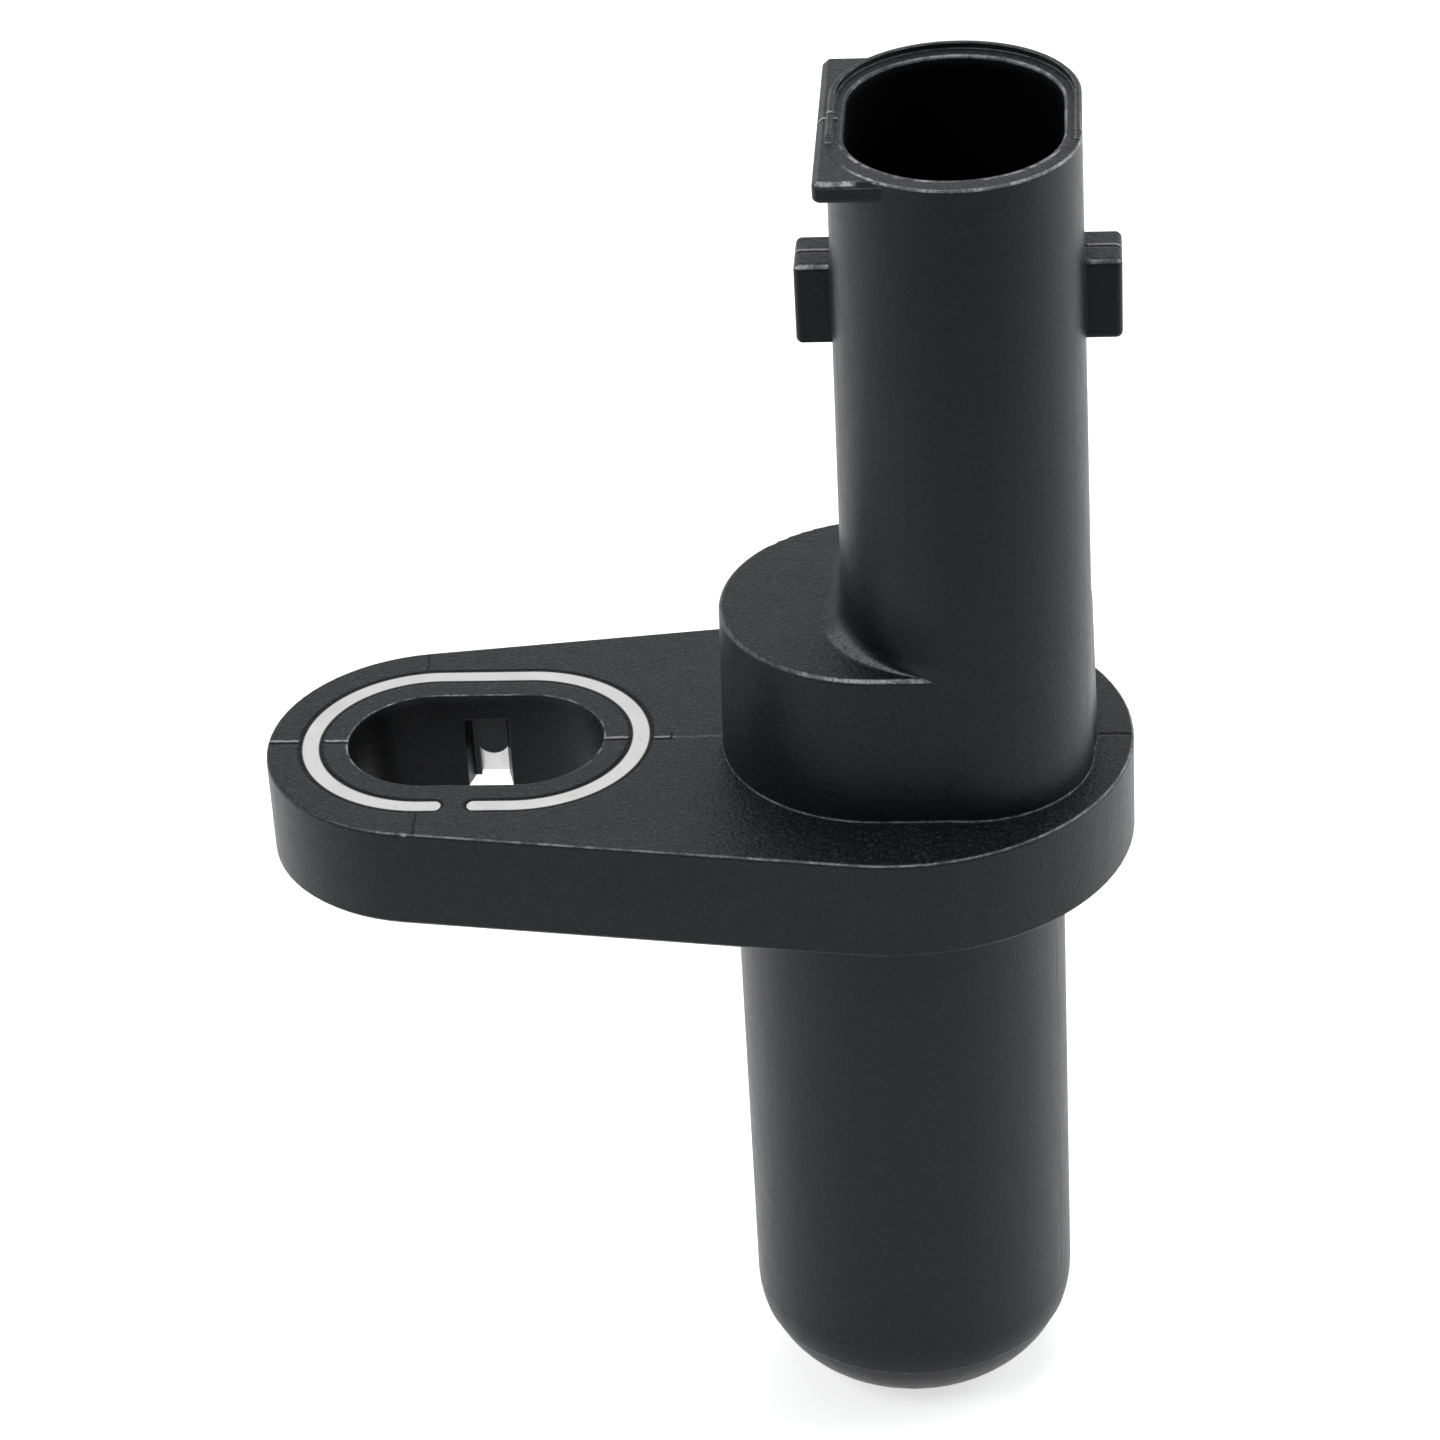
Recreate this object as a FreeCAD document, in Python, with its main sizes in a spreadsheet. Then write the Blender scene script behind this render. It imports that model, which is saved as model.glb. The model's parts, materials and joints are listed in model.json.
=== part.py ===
import FreeCAD, Part
import math
import os
import Sketcher
from FreeCAD import Placement, Rotation, Vector

# Crankshaft position sensor, millimetres.
# The origin is the shank's centre at the underside of the flange. +Z points to the connector,
# -X to the fixing slot, and the mould parts on the plane Y = 0.

SIZES = [
    # Shank, which reaches into the engine
    ("shank_radius", 9.03),
    ("shank_length", 35.33),
    ("tip_round", 5.63),
    ("tip_step", 0.08),
    ("tip_step_angle", 17.0),
    ("tip_wall", 1.25),
    ("shank_wall", 3.03),
    # Flange and fixing slot
    ("flange_thickness", 5.82),
    ("flange_radius", 12.91),
    ("ear_wall", 2.25),
    ("ear_inset", 0.34),
    ("flange_edge_round", 0.2),
    ("flange_foot_bevel", 0.2),
    ("slot_reach", 22.86),
    ("slot_half_run", 2.43),
    ("slot_radius", 4.58),
    ("slot_draft", 1.2),
    ("liner_wall", 1.52),
    ("sleeve_wall", 1.03),
    ("sleeve_gap", 1.4),
    ("sleeve_gap_offset", 0.55),
    ("window_width", 2.5),
    ("window_height", 4.25),
    ("window_web", 0.5),
    ("window_splay", 0.3),
    ("window_opening", 1.86),
    ("window_opening_width", 1.57),
    ("window_opening_shift", 0.15),
    ("window_sag", 0.43),
    # Boss
    ("boss_radius", 8.75),
    ("boss_ear_reach", 0.6),
    ("boss_neck_reach", 2.2),
    ("boss_height", 8.65),
    ("boss_draft", 1.3),
    ("boss_edge_round", 0.3),
    ("blend_radius", 1.3),
    ("blend_end_radius", 0.05),
    ("blend_overrun", 0.25),
    # Neck and connector mouth
    ("neck_offset", 4.11),
    ("neck_radius", 6.64),
    ("neck_half_run", 2.15),
    ("neck_height", 28.31),
    ("neck_draft", 0.36),
    ("mouth_wall", 0.88),
    ("socket_depth", 16.5),
    ("mouth_half_run", 1.8),
    ("socket_bevel", 0.12),
    ("lip_width", 0.34),
    ("lip_depth", 0.34),
    ("lip_bevel", 0.1),
    ("lip_end", 2.5),
    ("lip_ramp", 45),
    # Key plate beside the mouth
    ("plate_overhang", 0.5),
    ("plate_half_depth", 7.55),
    ("plate_thickness", 1.1),
    ("plate_corner", 0.45),
    ("plate_bevel", 0.28),
    ("plate_foot_round", 0.25),
    # Two latch lugs
    ("lug_overhang", 1.95),
    ("lug_half_depth", 1.8),
    ("lug_height", 4.5),
    ("lug_drop", 7.68),
    ("lug_edge_round", 0.35),
    # Terminals
    ("terminal_thickness", 0.8),
    ("blade_width", 2.8),
    ("blade_pitch", 4.6),
    ("blade_length", 10.0),
    ("blade_taper", 1.2),
    ("blade_tip_width", 1.4),
    ("tail_width", 1.1),
    ("tail_pitch", 1.9),
    ("jog_height", 5.0),
    ("weld_lap", 5.0),
    # Carrier of the sensing parts
    ("block_end_wall", 0.6),
    ("block_face_wall", 2.1),
    ("block_height", 12.0),
    ("floor_wall", 4.0),
    # Sensing parts
    ("chip_width", 3.9),
    ("chip_length", 5.6),
    ("chip_thickness", 1.5),
    ("chip_bevel", 0.25),
    ("lead_width", 0.5),
    ("lead_thickness", 0.4),
    ("lead_length", 18.6),
    ("lead_bend", 0.6),
    ("pole_disc_thickness", 0.6),
    ("magnet_wall", 0.56),
    ("magnet_height", 4.5),
    ("capacitor_width", 1.6),
    ("capacitor_height", 1.2),
    ("capacitor_rise", 9.0),
    ("capacitor_pitch", 4.0),
]

doc = FreeCAD.newDocument("CrankSensor")
sheet = doc.addObject("Spreadsheet::Sheet", "Sizes")
for row, (alias, value) in enumerate(SIZES, 1):
    sheet.set("A%d" % row, alias.replace("_", " "))
    sheet.set("B%d" % row, str(value))
    sheet.setAlias("B%d" % row, alias)
doc.recompute()


def size(text):
    """Spell an expression out with the sheet's name before each alias."""
    words = text.split()
    names = {alias for alias, value in SIZES}
    return " ".join("Sizes." + word if word in names else word for word in words)


def number(text):
    """Work an expression out now, for a sketch's first guess."""
    return float(sheet.evalExpression(size(text).replace("Sizes.", "")))


# Heights that several pieces share
FLANGE_TOP = "flange_thickness"
BOSS_TOP = "( flange_thickness + boss_height )"
NECK_TOP = "( flange_thickness + boss_height + neck_height )"
LEDGE = "( " + NECK_TOP + " - lip_depth )"
SOCKET_FLOOR = "( " + LEDGE + " - socket_depth )"
BLOCK_TOP = "( " + SOCKET_FLOOR + " - floor_wall )"
BLOCK_BOTTOM = "( " + BLOCK_TOP + " - block_height )"
TIP = "( 0 - shank_length )"
CHIP_BOTTOM = "( " + TIP + " + tip_wall )"
CARRIER_BOTTOM = "( " + CHIP_BOTTOM + " + chip_thickness )"
LEAD_MIDDLE = "( " + CHIP_BOTTOM + " + chip_thickness / 2 )"
LEAD_END = "( " + CARRIER_BOTTOM + " + lead_length )"
TAIL_END = "( " + LEAD_END + " - weld_lap )"

# Planes that several pieces share
TAIL_FACE = "( neck_offset - terminal_thickness / 2 )"
LEAD_FACE = "( " + TAIL_FACE + " - lead_thickness )"
SLEEVE_INNER = "( slot_radius + liner_wall )"
SLEEVE_OUTER = "( " + SLEEVE_INNER + " + sleeve_wall )"
EAR_RADIUS = "( " + SLEEVE_OUTER + " + ear_wall )"
EAR_REACH = "( slot_reach + slot_half_run - ear_inset )"
NECK_TOP_RADIUS = "( neck_radius - tan( neck_draft * 1deg ) * ( boss_height + neck_height ) )"
SOCKET_RADIUS = "( " + NECK_TOP_RADIUS + " - mouth_wall )"
CARRIER_RADIUS = "( shank_radius - shank_wall )"
MAGNET_RADIUS = "( " + LEAD_FACE + " - magnet_wall )"


def body(name):
    made = doc.addObject("PartDesign::Body", name)
    made.Label = name
    return made


def sketch(owner, name, role="XY_Plane", offset=None):
    """Start a sketch on one of the body's origin planes, moved along its normal."""
    made = owner.newObject("Sketcher::SketchObject", name)
    face = next(item for item in owner.Origin.OriginFeatures if item.Role == role)
    made.AttachmentSupport = [(face, "")]
    made.MapMode = "FlatFace"
    if offset:
        made.setExpression(".AttachmentOffset.Base.z", size(offset))
    return made


def bind(made, kind, where, text):
    """Add a constraint whose value follows an expression."""
    index = made.addConstraint(Sketcher.Constraint(kind, *where, number(text)))
    label = "%s%d" % (kind.lower(), index)
    made.renameConstraint(index, label)
    made.setExpression("Constraints." + label, size(text))


def place(made, geometry, point, across, up):
    """Hold a point of a sketch at two expressions from its origin."""
    bind(made, "DistanceX", (-1, 1, geometry, point), across)
    bind(made, "DistanceY", (-1, 1, geometry, point), up)


def polygon(made, points):
    """Draw a closed outline through points given as pairs of expressions."""
    spots = [Vector(number(across), number(up), 0) for across, up in points]
    lines = [Part.LineSegment(spots[i], spots[(i + 1) % len(spots)]) for i in range(len(spots))]
    first = made.addGeometry(lines, False)[0]
    for i in range(len(points)):
        after = (i + 1) % len(points)
        made.addConstraint(Sketcher.Constraint("Coincident", first + i, 2, first + after, 1))
        place(made, first + i, 1, *points[i])


def circle(made, across, up, radius):
    """Draw a full circle."""
    spot = Vector(number(across), number(up), 0)
    ring = made.addGeometry(Part.Circle(spot, Vector(0, 0, 1), number(radius)), False)
    place(made, ring, 3, across, up)
    bind(made, "Radius", (ring,), radius)


def belt(made, low, low_radius, high, high_radius):
    """Draw two arcs joined by their outer tangent lines, along X or along Y."""
    centres = [Vector(number(low[0]), number(low[1]), 0), Vector(number(high[0]), number(high[1]), 0)]
    radii = [number(low_radius), number(high_radius)]
    along = centres[1] - centres[0]
    lean = math.acos((radii[0] - radii[1]) / along.Length)
    heading = math.atan2(along.y, along.x)
    arcs = []
    for centre, radius, start, end in (
            (centres[0], radii[0], heading + lean, heading + 2 * math.pi - lean),
            (centres[1], radii[1], heading - lean, heading + lean)):
        arcs.append(Part.ArcOfCircle(Part.Circle(centre, Vector(0, 0, 1), radius), start, end))
    first = made.addGeometry(arcs, False)[0]
    second = first + 1
    sides = [Part.LineSegment(arcs[0].EndPoint, arcs[1].StartPoint),
             Part.LineSegment(arcs[1].EndPoint, arcs[0].StartPoint)]
    side = made.addGeometry(sides, False)[0]
    made.addConstraint([
        Sketcher.Constraint("Tangent", first, 2, side, 1),
        Sketcher.Constraint("Tangent", side, 2, second, 1),
        Sketcher.Constraint("Tangent", second, 2, side + 1, 1),
        Sketcher.Constraint("Tangent", side + 1, 2, first, 1)])
    place(made, first, 3, *low)
    place(made, second, 3, *high)
    bind(made, "Radius", (first,), low_radius)
    bind(made, "Radius", (second,), high_radius)


def pad(owner, profile, length, taper=None, midplane=False, down=False):
    made = owner.newObject("PartDesign::Pad", profile.Name + "Pad")
    made.Profile = profile
    made.setExpression("Length", size(length))
    made.Midplane = midplane
    made.Reversed = down
    if taper:
        made.setExpression("TaperAngle", "0 - " + size(taper))
    doc.recompute()
    return made


def pocket(owner, profile, length, up=False, midplane=False):
    """Cut a profile away, below its sketch unless up is set."""
    made = owner.newObject("PartDesign::Pocket", profile.Name + "Pocket")
    made.Profile = profile
    made.setExpression("Length", size(length))
    made.Midplane = midplane
    made.Reversed = up
    doc.recompute()
    return made


def dress(owner, kind, name, chosen, width):
    """Round (Fillet) or bevel (Chamfer) the edges of the body's tip that a test chooses."""
    base = owner.Tip
    edges = ["Edge%d" % (i + 1) for i, edge in enumerate(base.Shape.Edges) if chosen(edge)]
    made = owner.newObject("PartDesign::" + kind, name)
    made.Base = (base, edges)
    made.setExpression("Radius" if kind == "Fillet" else "Size", size(width))
    doc.recompute()
    return made


def level(edge, height):
    """Tell whether an edge lies flat at a height."""
    box = edge.BoundBox
    return abs(box.ZMin - height) < 1e-4 and abs(box.ZMax - height) < 1e-4


def upright(edge):
    """Tell whether an edge is a vertical straight line."""
    box = edge.BoundBox
    return box.XLength < 1e-4 and box.YLength < 1e-4


def join(kind, name, pieces):
    """Make a Part boolean of whole objects."""
    made = doc.addObject("Part::" + kind, name)
    if kind == "Cut":
        made.Base, made.Tool = pieces
    else:
        made.Shapes = pieces
    made.Label = name
    doc.recompute()
    return made


def side_by_side(centre, half, name):
    """Give the two centres of a belt that runs along X or Y."""
    if name == "X":
        return (centre + " - " + half, "0"), (centre + " + " + half, "0")
    return (centre, "0 - " + half), (centre, half)


SLOT_ENDS = side_by_side("0 - slot_reach", "slot_half_run", "X")
NECK_ENDS = side_by_side("neck_offset", "neck_half_run", "Y")
MOUTH_ENDS = side_by_side("neck_offset", "mouth_half_run", "Y")


# Shank with its rounded tip, turned about Z

def make_shank():
    made = body("shank")
    profile = sketch(made, "ShankProfile", "XZ_Plane")
    radius = number("shank_radius")
    outer = number("tip_round")
    inner = number("tip_round - tip_step")
    centre = Vector(radius - outer, number(TIP) + inner, 0)
    band = math.radians(number("tip_step_angle"))
    top = Vector(radius, 0, 0)
    wall_end = Vector(radius, centre.y, 0)
    upper = Part.ArcOfCircle(Part.Circle(centre, Vector(0, 0, 1), outer), -band, 0)
    lower = Part.ArcOfCircle(Part.Circle(centre, Vector(0, 0, 1), inner), -math.pi / 2, -band)
    nose = Vector(centre.x, number(TIP), 0)
    geometry = [
        Part.LineSegment(Vector(0, 0, 0), top),
        Part.LineSegment(top, wall_end),
        upper,
        Part.LineSegment(upper.StartPoint, lower.EndPoint),
        lower,
        Part.LineSegment(nose, Vector(0, number(TIP), 0)),
        Part.LineSegment(Vector(0, number(TIP), 0), Vector(0, 0, 0)),
    ]
    profile.addGeometry(geometry, False)
    profile.addConstraint([
        Sketcher.Constraint("Coincident", 0, 1, -1, 1),
        Sketcher.Constraint("Horizontal", 0),
        Sketcher.Constraint("Coincident", 0, 2, 1, 1),
        Sketcher.Constraint("Vertical", 1),
        Sketcher.Constraint("Tangent", 1, 2, 2, 2),
        Sketcher.Constraint("Coincident", 2, 1, 3, 1),
        Sketcher.Constraint("Coincident", 3, 2, 4, 2),
        Sketcher.Constraint("Coincident", 4, 3, 2, 3),
        Sketcher.Constraint("PointOnObject", 4, 3, 3),
        Sketcher.Constraint("Tangent", 4, 1, 5, 1),
        Sketcher.Constraint("Horizontal", 5),
        Sketcher.Constraint("Coincident", 5, 2, 6, 1),
        Sketcher.Constraint("Coincident", 6, 2, 0, 1),
        Sketcher.Constraint("Vertical", 6)])
    bind(profile, "DistanceX", (0, 1, 0, 2), "shank_radius")
    bind(profile, "DistanceY", (6, 1, 6, 2), "shank_length")
    bind(profile, "Radius", (2,), "tip_round")
    bind(profile, "Radius", (4,), "tip_round - tip_step")
    bind(profile, "DistanceY", (2, 1, 2, 3), "tip_round * sin( tip_step_angle * 1deg )")
    turned = made.newObject("PartDesign::Revolution", "ShankTurned")
    turned.Profile = profile
    turned.ReferenceAxis = (profile, ["V_Axis"])
    turned.Angle = 360
    doc.recompute()
    return made


# Flange: a round end about the shank and a smaller round ear about the slot

def make_flange():
    made = body("flange")
    outline = sketch(made, "FlangeOutline")
    belt(outline, ("0 - " + EAR_REACH, "0"), EAR_RADIUS, ("0", "0"), "flange_radius")
    pad(made, outline, FLANGE_TOP)
    top = number(FLANGE_TOP)
    dress(made, "Fillet", "FlangeEdge", lambda edge: level(edge, top), "flange_edge_round")
    dress(made, "Chamfer", "FlangeFoot", lambda edge: level(edge, 0), "flange_foot_bevel")
    slot = sketch(made, "Slot", offset=FLANGE_TOP)
    belt(slot, SLOT_ENDS[0], "slot_radius", SLOT_ENDS[1], "slot_radius")
    cut = pocket(made, slot, FLANGE_TOP)
    cut.setExpression("TaperAngle", "0 - Sizes.slot_draft")
    doc.recompute()
    return made


# Window in the slot's liner, which shows the sleeve and is open below

def make_window():
    made = body("window")
    recess = sketch(made, "WindowRecess")
    left = "0 - slot_reach - window_width / 2"
    right = "0 - slot_reach + window_width / 2"
    wall = "slot_radius / 2"
    face = "slot_radius - tan( slot_draft * 1deg ) * flange_thickness"
    back = SLEEVE_INNER + " - window_web"
    polygon(recess, [
        (left, wall),
        (right, wall),
        (right, face),
        (right + " - window_splay", back),
        (left + " + window_splay", back),
        (left, face)])
    pad(made, recess, "window_height")
    opening = sketch(made, "WindowOpening", "XZ_Plane")
    half = number("window_opening_width / 2")
    middle = number("window_opening_shift - slot_reach")
    top = number("window_opening")
    corners = [Vector(middle - half, top, 0), Vector(middle - half, 0, 0),
               Vector(middle + half, 0, 0), Vector(middle + half, top, 0)]
    sides = [Part.LineSegment(corners[i], corners[i + 1]) for i in range(3)]
    sag = Part.Arc(corners[3], Vector(middle, top - number("window_sag"), 0), corners[0])
    opening.addGeometry(sides + [sag], False)
    opening.addConstraint([
        Sketcher.Constraint("Coincident", 0, 2, 1, 1),
        Sketcher.Constraint("Coincident", 1, 2, 2, 1),
        Sketcher.Constraint("Coincident", 2, 2, 3, 2),
        Sketcher.Constraint("Coincident", 0, 1, 3, 1)])
    place(opening, 0, 1, "window_opening_shift - slot_reach - window_opening_width / 2", "window_opening")
    place(opening, 1, 1, "window_opening_shift - slot_reach - window_opening_width / 2", "0")
    place(opening, 1, 2, "window_opening_shift - slot_reach + window_opening_width / 2", "0")
    place(opening, 2, 2, "window_opening_shift - slot_reach + window_opening_width / 2", "window_opening")
    bind(opening, "Radius", (3,), "( window_opening_width ^ 2 / 4 + window_sag ^ 2 ) / ( 2 * window_sag )")
    pad(made, opening, SLEEVE_INNER, down=True)
    return made


# Boss: two round ends with draft

def make_boss():
    made = body("boss")
    outline = sketch(made, "BossOutline", offset=FLANGE_TOP)
    belt(outline, ("0 - boss_ear_reach", "0"), "boss_radius", ("boss_neck_reach", "0"), "boss_radius")
    pad(made, outline, "boss_height", taper="boss_draft")
    top = number(BOSS_TOP)
    dress(made, "Fillet", "BossEdge", lambda edge: level(edge, top), "boss_edge_round")
    return made


# Neck: one straight, slightly drafted wall from the flange to the mouth

def make_neck():
    made = body("neck")
    outline = sketch(made, "NeckOutline", offset=FLANGE_TOP)
    belt(outline, NECK_ENDS[0], "neck_radius", NECK_ENDS[1], "neck_radius")
    pad(made, outline, "boss_height + neck_height", taper="neck_draft")
    top = number(NECK_TOP)
    dress(made, "Chamfer", "LipBevel", lambda edge: level(edge, top), "lip_bevel")
    return made


def split_belt(made, low, high, radius, split):
    """Draw a belt along Y, with both arcs cut in two at a distance from the X axis."""
    reach = number(radius)
    along = number("neck_offset")
    arcs = []
    for centre, start, side in ((low, math.pi, -1), (high, 0, 1)):
        middle = Vector(along, number(centre[1]), 0)
        cut = math.asin((number(split) - abs(middle.y)) / reach)
        turn = math.pi + cut if side < 0 else math.pi - cut
        ring = Part.Circle(middle, Vector(0, 0, 1), reach)
        arcs += [Part.ArcOfCircle(ring, start, turn), Part.ArcOfCircle(ring, turn, start + math.pi)]
    joins = [Part.LineSegment(arcs[1].EndPoint, arcs[2].StartPoint),
             Part.LineSegment(arcs[3].EndPoint, arcs[0].StartPoint)]
    made.addGeometry(arcs + joins, False)
    made.addConstraint([
        Sketcher.Constraint("Coincident", 0, 2, 1, 1),
        Sketcher.Constraint("Tangent", 1, 2, 4, 1),
        Sketcher.Constraint("Tangent", 4, 2, 2, 1),
        Sketcher.Constraint("Coincident", 2, 2, 3, 1),
        Sketcher.Constraint("Tangent", 3, 2, 5, 1),
        Sketcher.Constraint("Tangent", 5, 2, 0, 1),
        Sketcher.Constraint("Coincident", 0, 3, 1, 3),
        Sketcher.Constraint("Coincident", 2, 3, 3, 3)])
    place(made, 0, 3, *low)
    place(made, 2, 3, *high)
    bind(made, "Radius", (0,), radius)
    bind(made, "Radius", (2,), radius)
    bind(made, "DistanceY", (-1, 1, 0, 2), "0 - " + split)
    bind(made, "DistanceY", (-1, 1, 2, 2), split)


def make_blend():
    """Make the concave blend between the neck and the boss's top.

    It narrows along the neck's two sides and runs out where the neck crosses the boss's edge.
    """
    root = body("blend_root")
    slab = sketch(root, "BlendSlab", offset=BOSS_TOP)
    circle(slab, "neck_offset", "0", "3 * neck_radius")
    pad(root, slab, "2 * blend_radius", down=True)
    radius = "( neck_radius - tan( neck_draft * 1deg ) * boss_height )"
    edge = "( boss_radius - tan( boss_draft * 1deg ) * boss_height - boss_edge_round )"
    stem = sketch(root, "BlendStem", offset=BOSS_TOP)
    split_belt(stem, NECK_ENDS[0], NECK_ENDS[1], radius, "( " + edge + " + blend_overrun )")
    pad(root, stem, "2 * blend_radius", taper="neck_draft")
    top = number(BOSS_TOP)
    foot = [(i + 1, side) for i, side in enumerate(root.Shape.Edges)
            if level(side, top) and side.BoundBox.XMax < number("neck_offset + 2 * neck_radius")]
    crossing = number("neck_offset - sqrt( " + radius + " ^ 2 - ( " + edge + " - neck_half_run ) ^ 2 )")
    chosen = []
    for index, side in foot:
        ends = [side.valueAt(side.FirstParameter), side.valueAt(side.LastParameter)]
        widths = [number("blend_radius" if end.x < crossing - 0.01 else "blend_end_radius") for end in ends]
        chosen.append((index, *widths))
    rounded = doc.addObject("Part::Fillet", "blend_round")
    rounded.Base = root
    rounded.Edges = chosen
    limit = body("blend_limit")
    outline = sketch(limit, "BlendLimit", offset=BOSS_TOP)
    belt(outline, ("0 - boss_ear_reach", "0"), edge, ("boss_neck_reach", "0"), edge)
    pad(limit, outline, "3 * blend_radius", midplane=True)
    return join("MultiCommon", "neck_blend", [rounded, limit])


# Key plate: a square-cornered flat beside the mouth, on the slot's side

def make_plate():
    made = body("key_plate")
    outline = sketch(made, "PlateOutline", offset=LEDGE)
    left = "neck_offset - " + NECK_TOP_RADIUS + " - plate_overhang"
    right = "neck_offset - neck_radius / 2"
    polygon(outline, [
        (left, "0 - plate_half_depth"),
        (right, "0 - plate_half_depth"),
        (right, "plate_half_depth"),
        (left, "plate_half_depth")])
    pad(made, outline, "plate_thickness", down=True)
    edge_x = number(left)
    dress(made, "Fillet", "PlateCorners",
          lambda edge: upright(edge) and abs(edge.BoundBox.XMin - edge_x) < 1e-4, "plate_corner")
    top = number(LEDGE)
    dress(made, "Chamfer", "PlateBevel", lambda edge: level(edge, top), "plate_bevel")
    foot = number(LEDGE + " - plate_thickness")
    dress(made, "Fillet", "PlateFoot", lambda edge: level(edge, foot), "plate_foot_round")
    return made


# Latch lugs: one bar through the neck, with both ends standing out

def make_lugs():
    made = body("latch_lugs")
    outline = sketch(made, "LugOutline", offset=NECK_TOP + " - lug_drop")
    left = "neck_offset - " + NECK_TOP_RADIUS + " - lug_overhang"
    right = "neck_offset + " + NECK_TOP_RADIUS + " + lug_overhang"
    polygon(outline, [
        (left, "0 - lug_half_depth"),
        (right, "0 - lug_half_depth"),
        (right, "lug_half_depth"),
        (left, "lug_half_depth")])
    pad(made, outline, "lug_height", down=True)
    dress(made, "Fillet", "LugEdges", lambda edge: True, "lug_edge_round")
    return made


# Socket: the lip's recess and the deep hole with its bevelled mouth

def make_socket():
    made = body("socket")
    recess = sketch(made, "LipRecess", offset=NECK_TOP)
    inner = NECK_TOP_RADIUS + " - lip_width"
    belt(recess, NECK_ENDS[0], inner, NECK_ENDS[1], inner)
    pad(made, recess, "lip_depth", down=True)
    front = sketch(made, "LipFront", offset=NECK_TOP)
    polygon(front, [
        ("neck_offset - 2 * neck_radius", "0 - 3 * neck_radius"),
        ("neck_offset + 2 * neck_radius", "0 - 3 * neck_radius"),
        ("neck_offset + 2 * neck_radius", "0 - lip_end"),
        ("neck_offset - 2 * neck_radius", "0 - lip_end")])
    pad(made, front, "lip_depth", taper="lip_ramp", down=True)
    mouth = sketch(made, "SocketMouth", offset=LEDGE)
    wide = SOCKET_RADIUS + " + socket_bevel"
    belt(mouth, MOUTH_ENDS[0], wide, MOUTH_ENDS[1], wide)
    bevel = pad(made, mouth, "socket_bevel", down=True)
    bevel.TaperAngle = -45
    hole = sketch(made, "SocketHole", offset=LEDGE)
    belt(hole, MOUTH_ENDS[0], SOCKET_RADIUS, MOUTH_ENDS[1], SOCKET_RADIUS)
    pad(made, hole, "socket_depth", down=True)
    return made


# Split steel sleeve that takes the screw's clamping force

def make_sleeve():
    made = body("bolt_sleeve")
    outer = sketch(made, "SleeveOuter")
    belt(outer, SLOT_ENDS[0], SLEEVE_OUTER, SLOT_ENDS[1], SLEEVE_OUTER)
    pad(made, outer, FLANGE_TOP)
    inner = sketch(made, "SleeveInner", offset=FLANGE_TOP)
    belt(inner, SLOT_ENDS[0], SLEEVE_INNER, SLOT_ENDS[1], SLEEVE_INNER)
    pocket(made, inner, FLANGE_TOP)
    half = "( sleeve_gap + sleeve_wall ) / 2"
    middle = "0 - slot_reach - sleeve_gap_offset"
    gap = sketch(made, "SleeveGap", offset=FLANGE_TOP)
    polygon(gap, [
        (middle + " - " + half, "0 - " + SLEEVE_OUTER + " - sleeve_wall"),
        (middle + " + " + half, "0 - " + SLEEVE_OUTER + " - sleeve_wall"),
        (middle + " + " + half, "0"),
        (middle + " - " + half, "0")])
    pocket(made, gap, FLANGE_TOP)
    ends = sketch(made, "SleeveEnds")
    for side in (" - ", " + "):
        circle(ends, middle + side + half, "0 - " + SLEEVE_INNER + " - sleeve_wall / 2", "sleeve_wall / 2")
    pad(made, ends, FLANGE_TOP)
    return made


# Terminals: flat blades in the socket, with tails that run down to the sensing chip

TERMINALS = [("terminal_supply", -1), ("terminal_ground", 0), ("terminal_signal", 1)]


def make_terminal(name, place_index):
    made = body(name)
    outline = sketch(made, name + "Outline", "YZ_Plane", TAIL_FACE)
    blade = "%d * blade_pitch" % place_index
    tail = "%d * tail_pitch" % place_index
    tip = SOCKET_FLOOR + " + blade_length"
    jog_top = BLOCK_BOTTOM + " + ( block_height + jog_height ) / 2"
    jog_bottom = BLOCK_BOTTOM + " + ( block_height - jog_height ) / 2"
    polygon(outline, [
        (tail + " - tail_width / 2", TAIL_END),
        (tail + " + tail_width / 2", TAIL_END),
        (tail + " + tail_width / 2", jog_bottom),
        (blade + " + blade_width / 2", jog_top),
        (blade + " + blade_width / 2", tip + " - blade_taper"),
        (blade + " + blade_tip_width / 2", tip),
        (blade + " - blade_tip_width / 2", tip),
        (blade + " - blade_width / 2", tip + " - blade_taper"),
        (blade + " - blade_width / 2", jog_top),
        (tail + " - tail_width / 2", jog_bottom)])
    pad(made, outline, "terminal_thickness")
    return made


# Sensing parts, from the tip upwards

def make_chip():
    made = body("hall_chip")
    outline = sketch(made, "ChipOutline", offset=CHIP_BOTTOM)
    polygon(outline, [
        ("0 - chip_width / 2", "0 - chip_length / 2"),
        ("chip_width / 2", "0 - chip_length / 2"),
        ("chip_width / 2", "chip_length / 2"),
        ("0 - chip_width / 2", "chip_length / 2")])
    pad(made, outline, "chip_thickness")
    low = number(CHIP_BOTTOM)
    dress(made, "Chamfer", "ChipBevel", lambda edge: level(edge, low), "chip_bevel")
    return made


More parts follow.
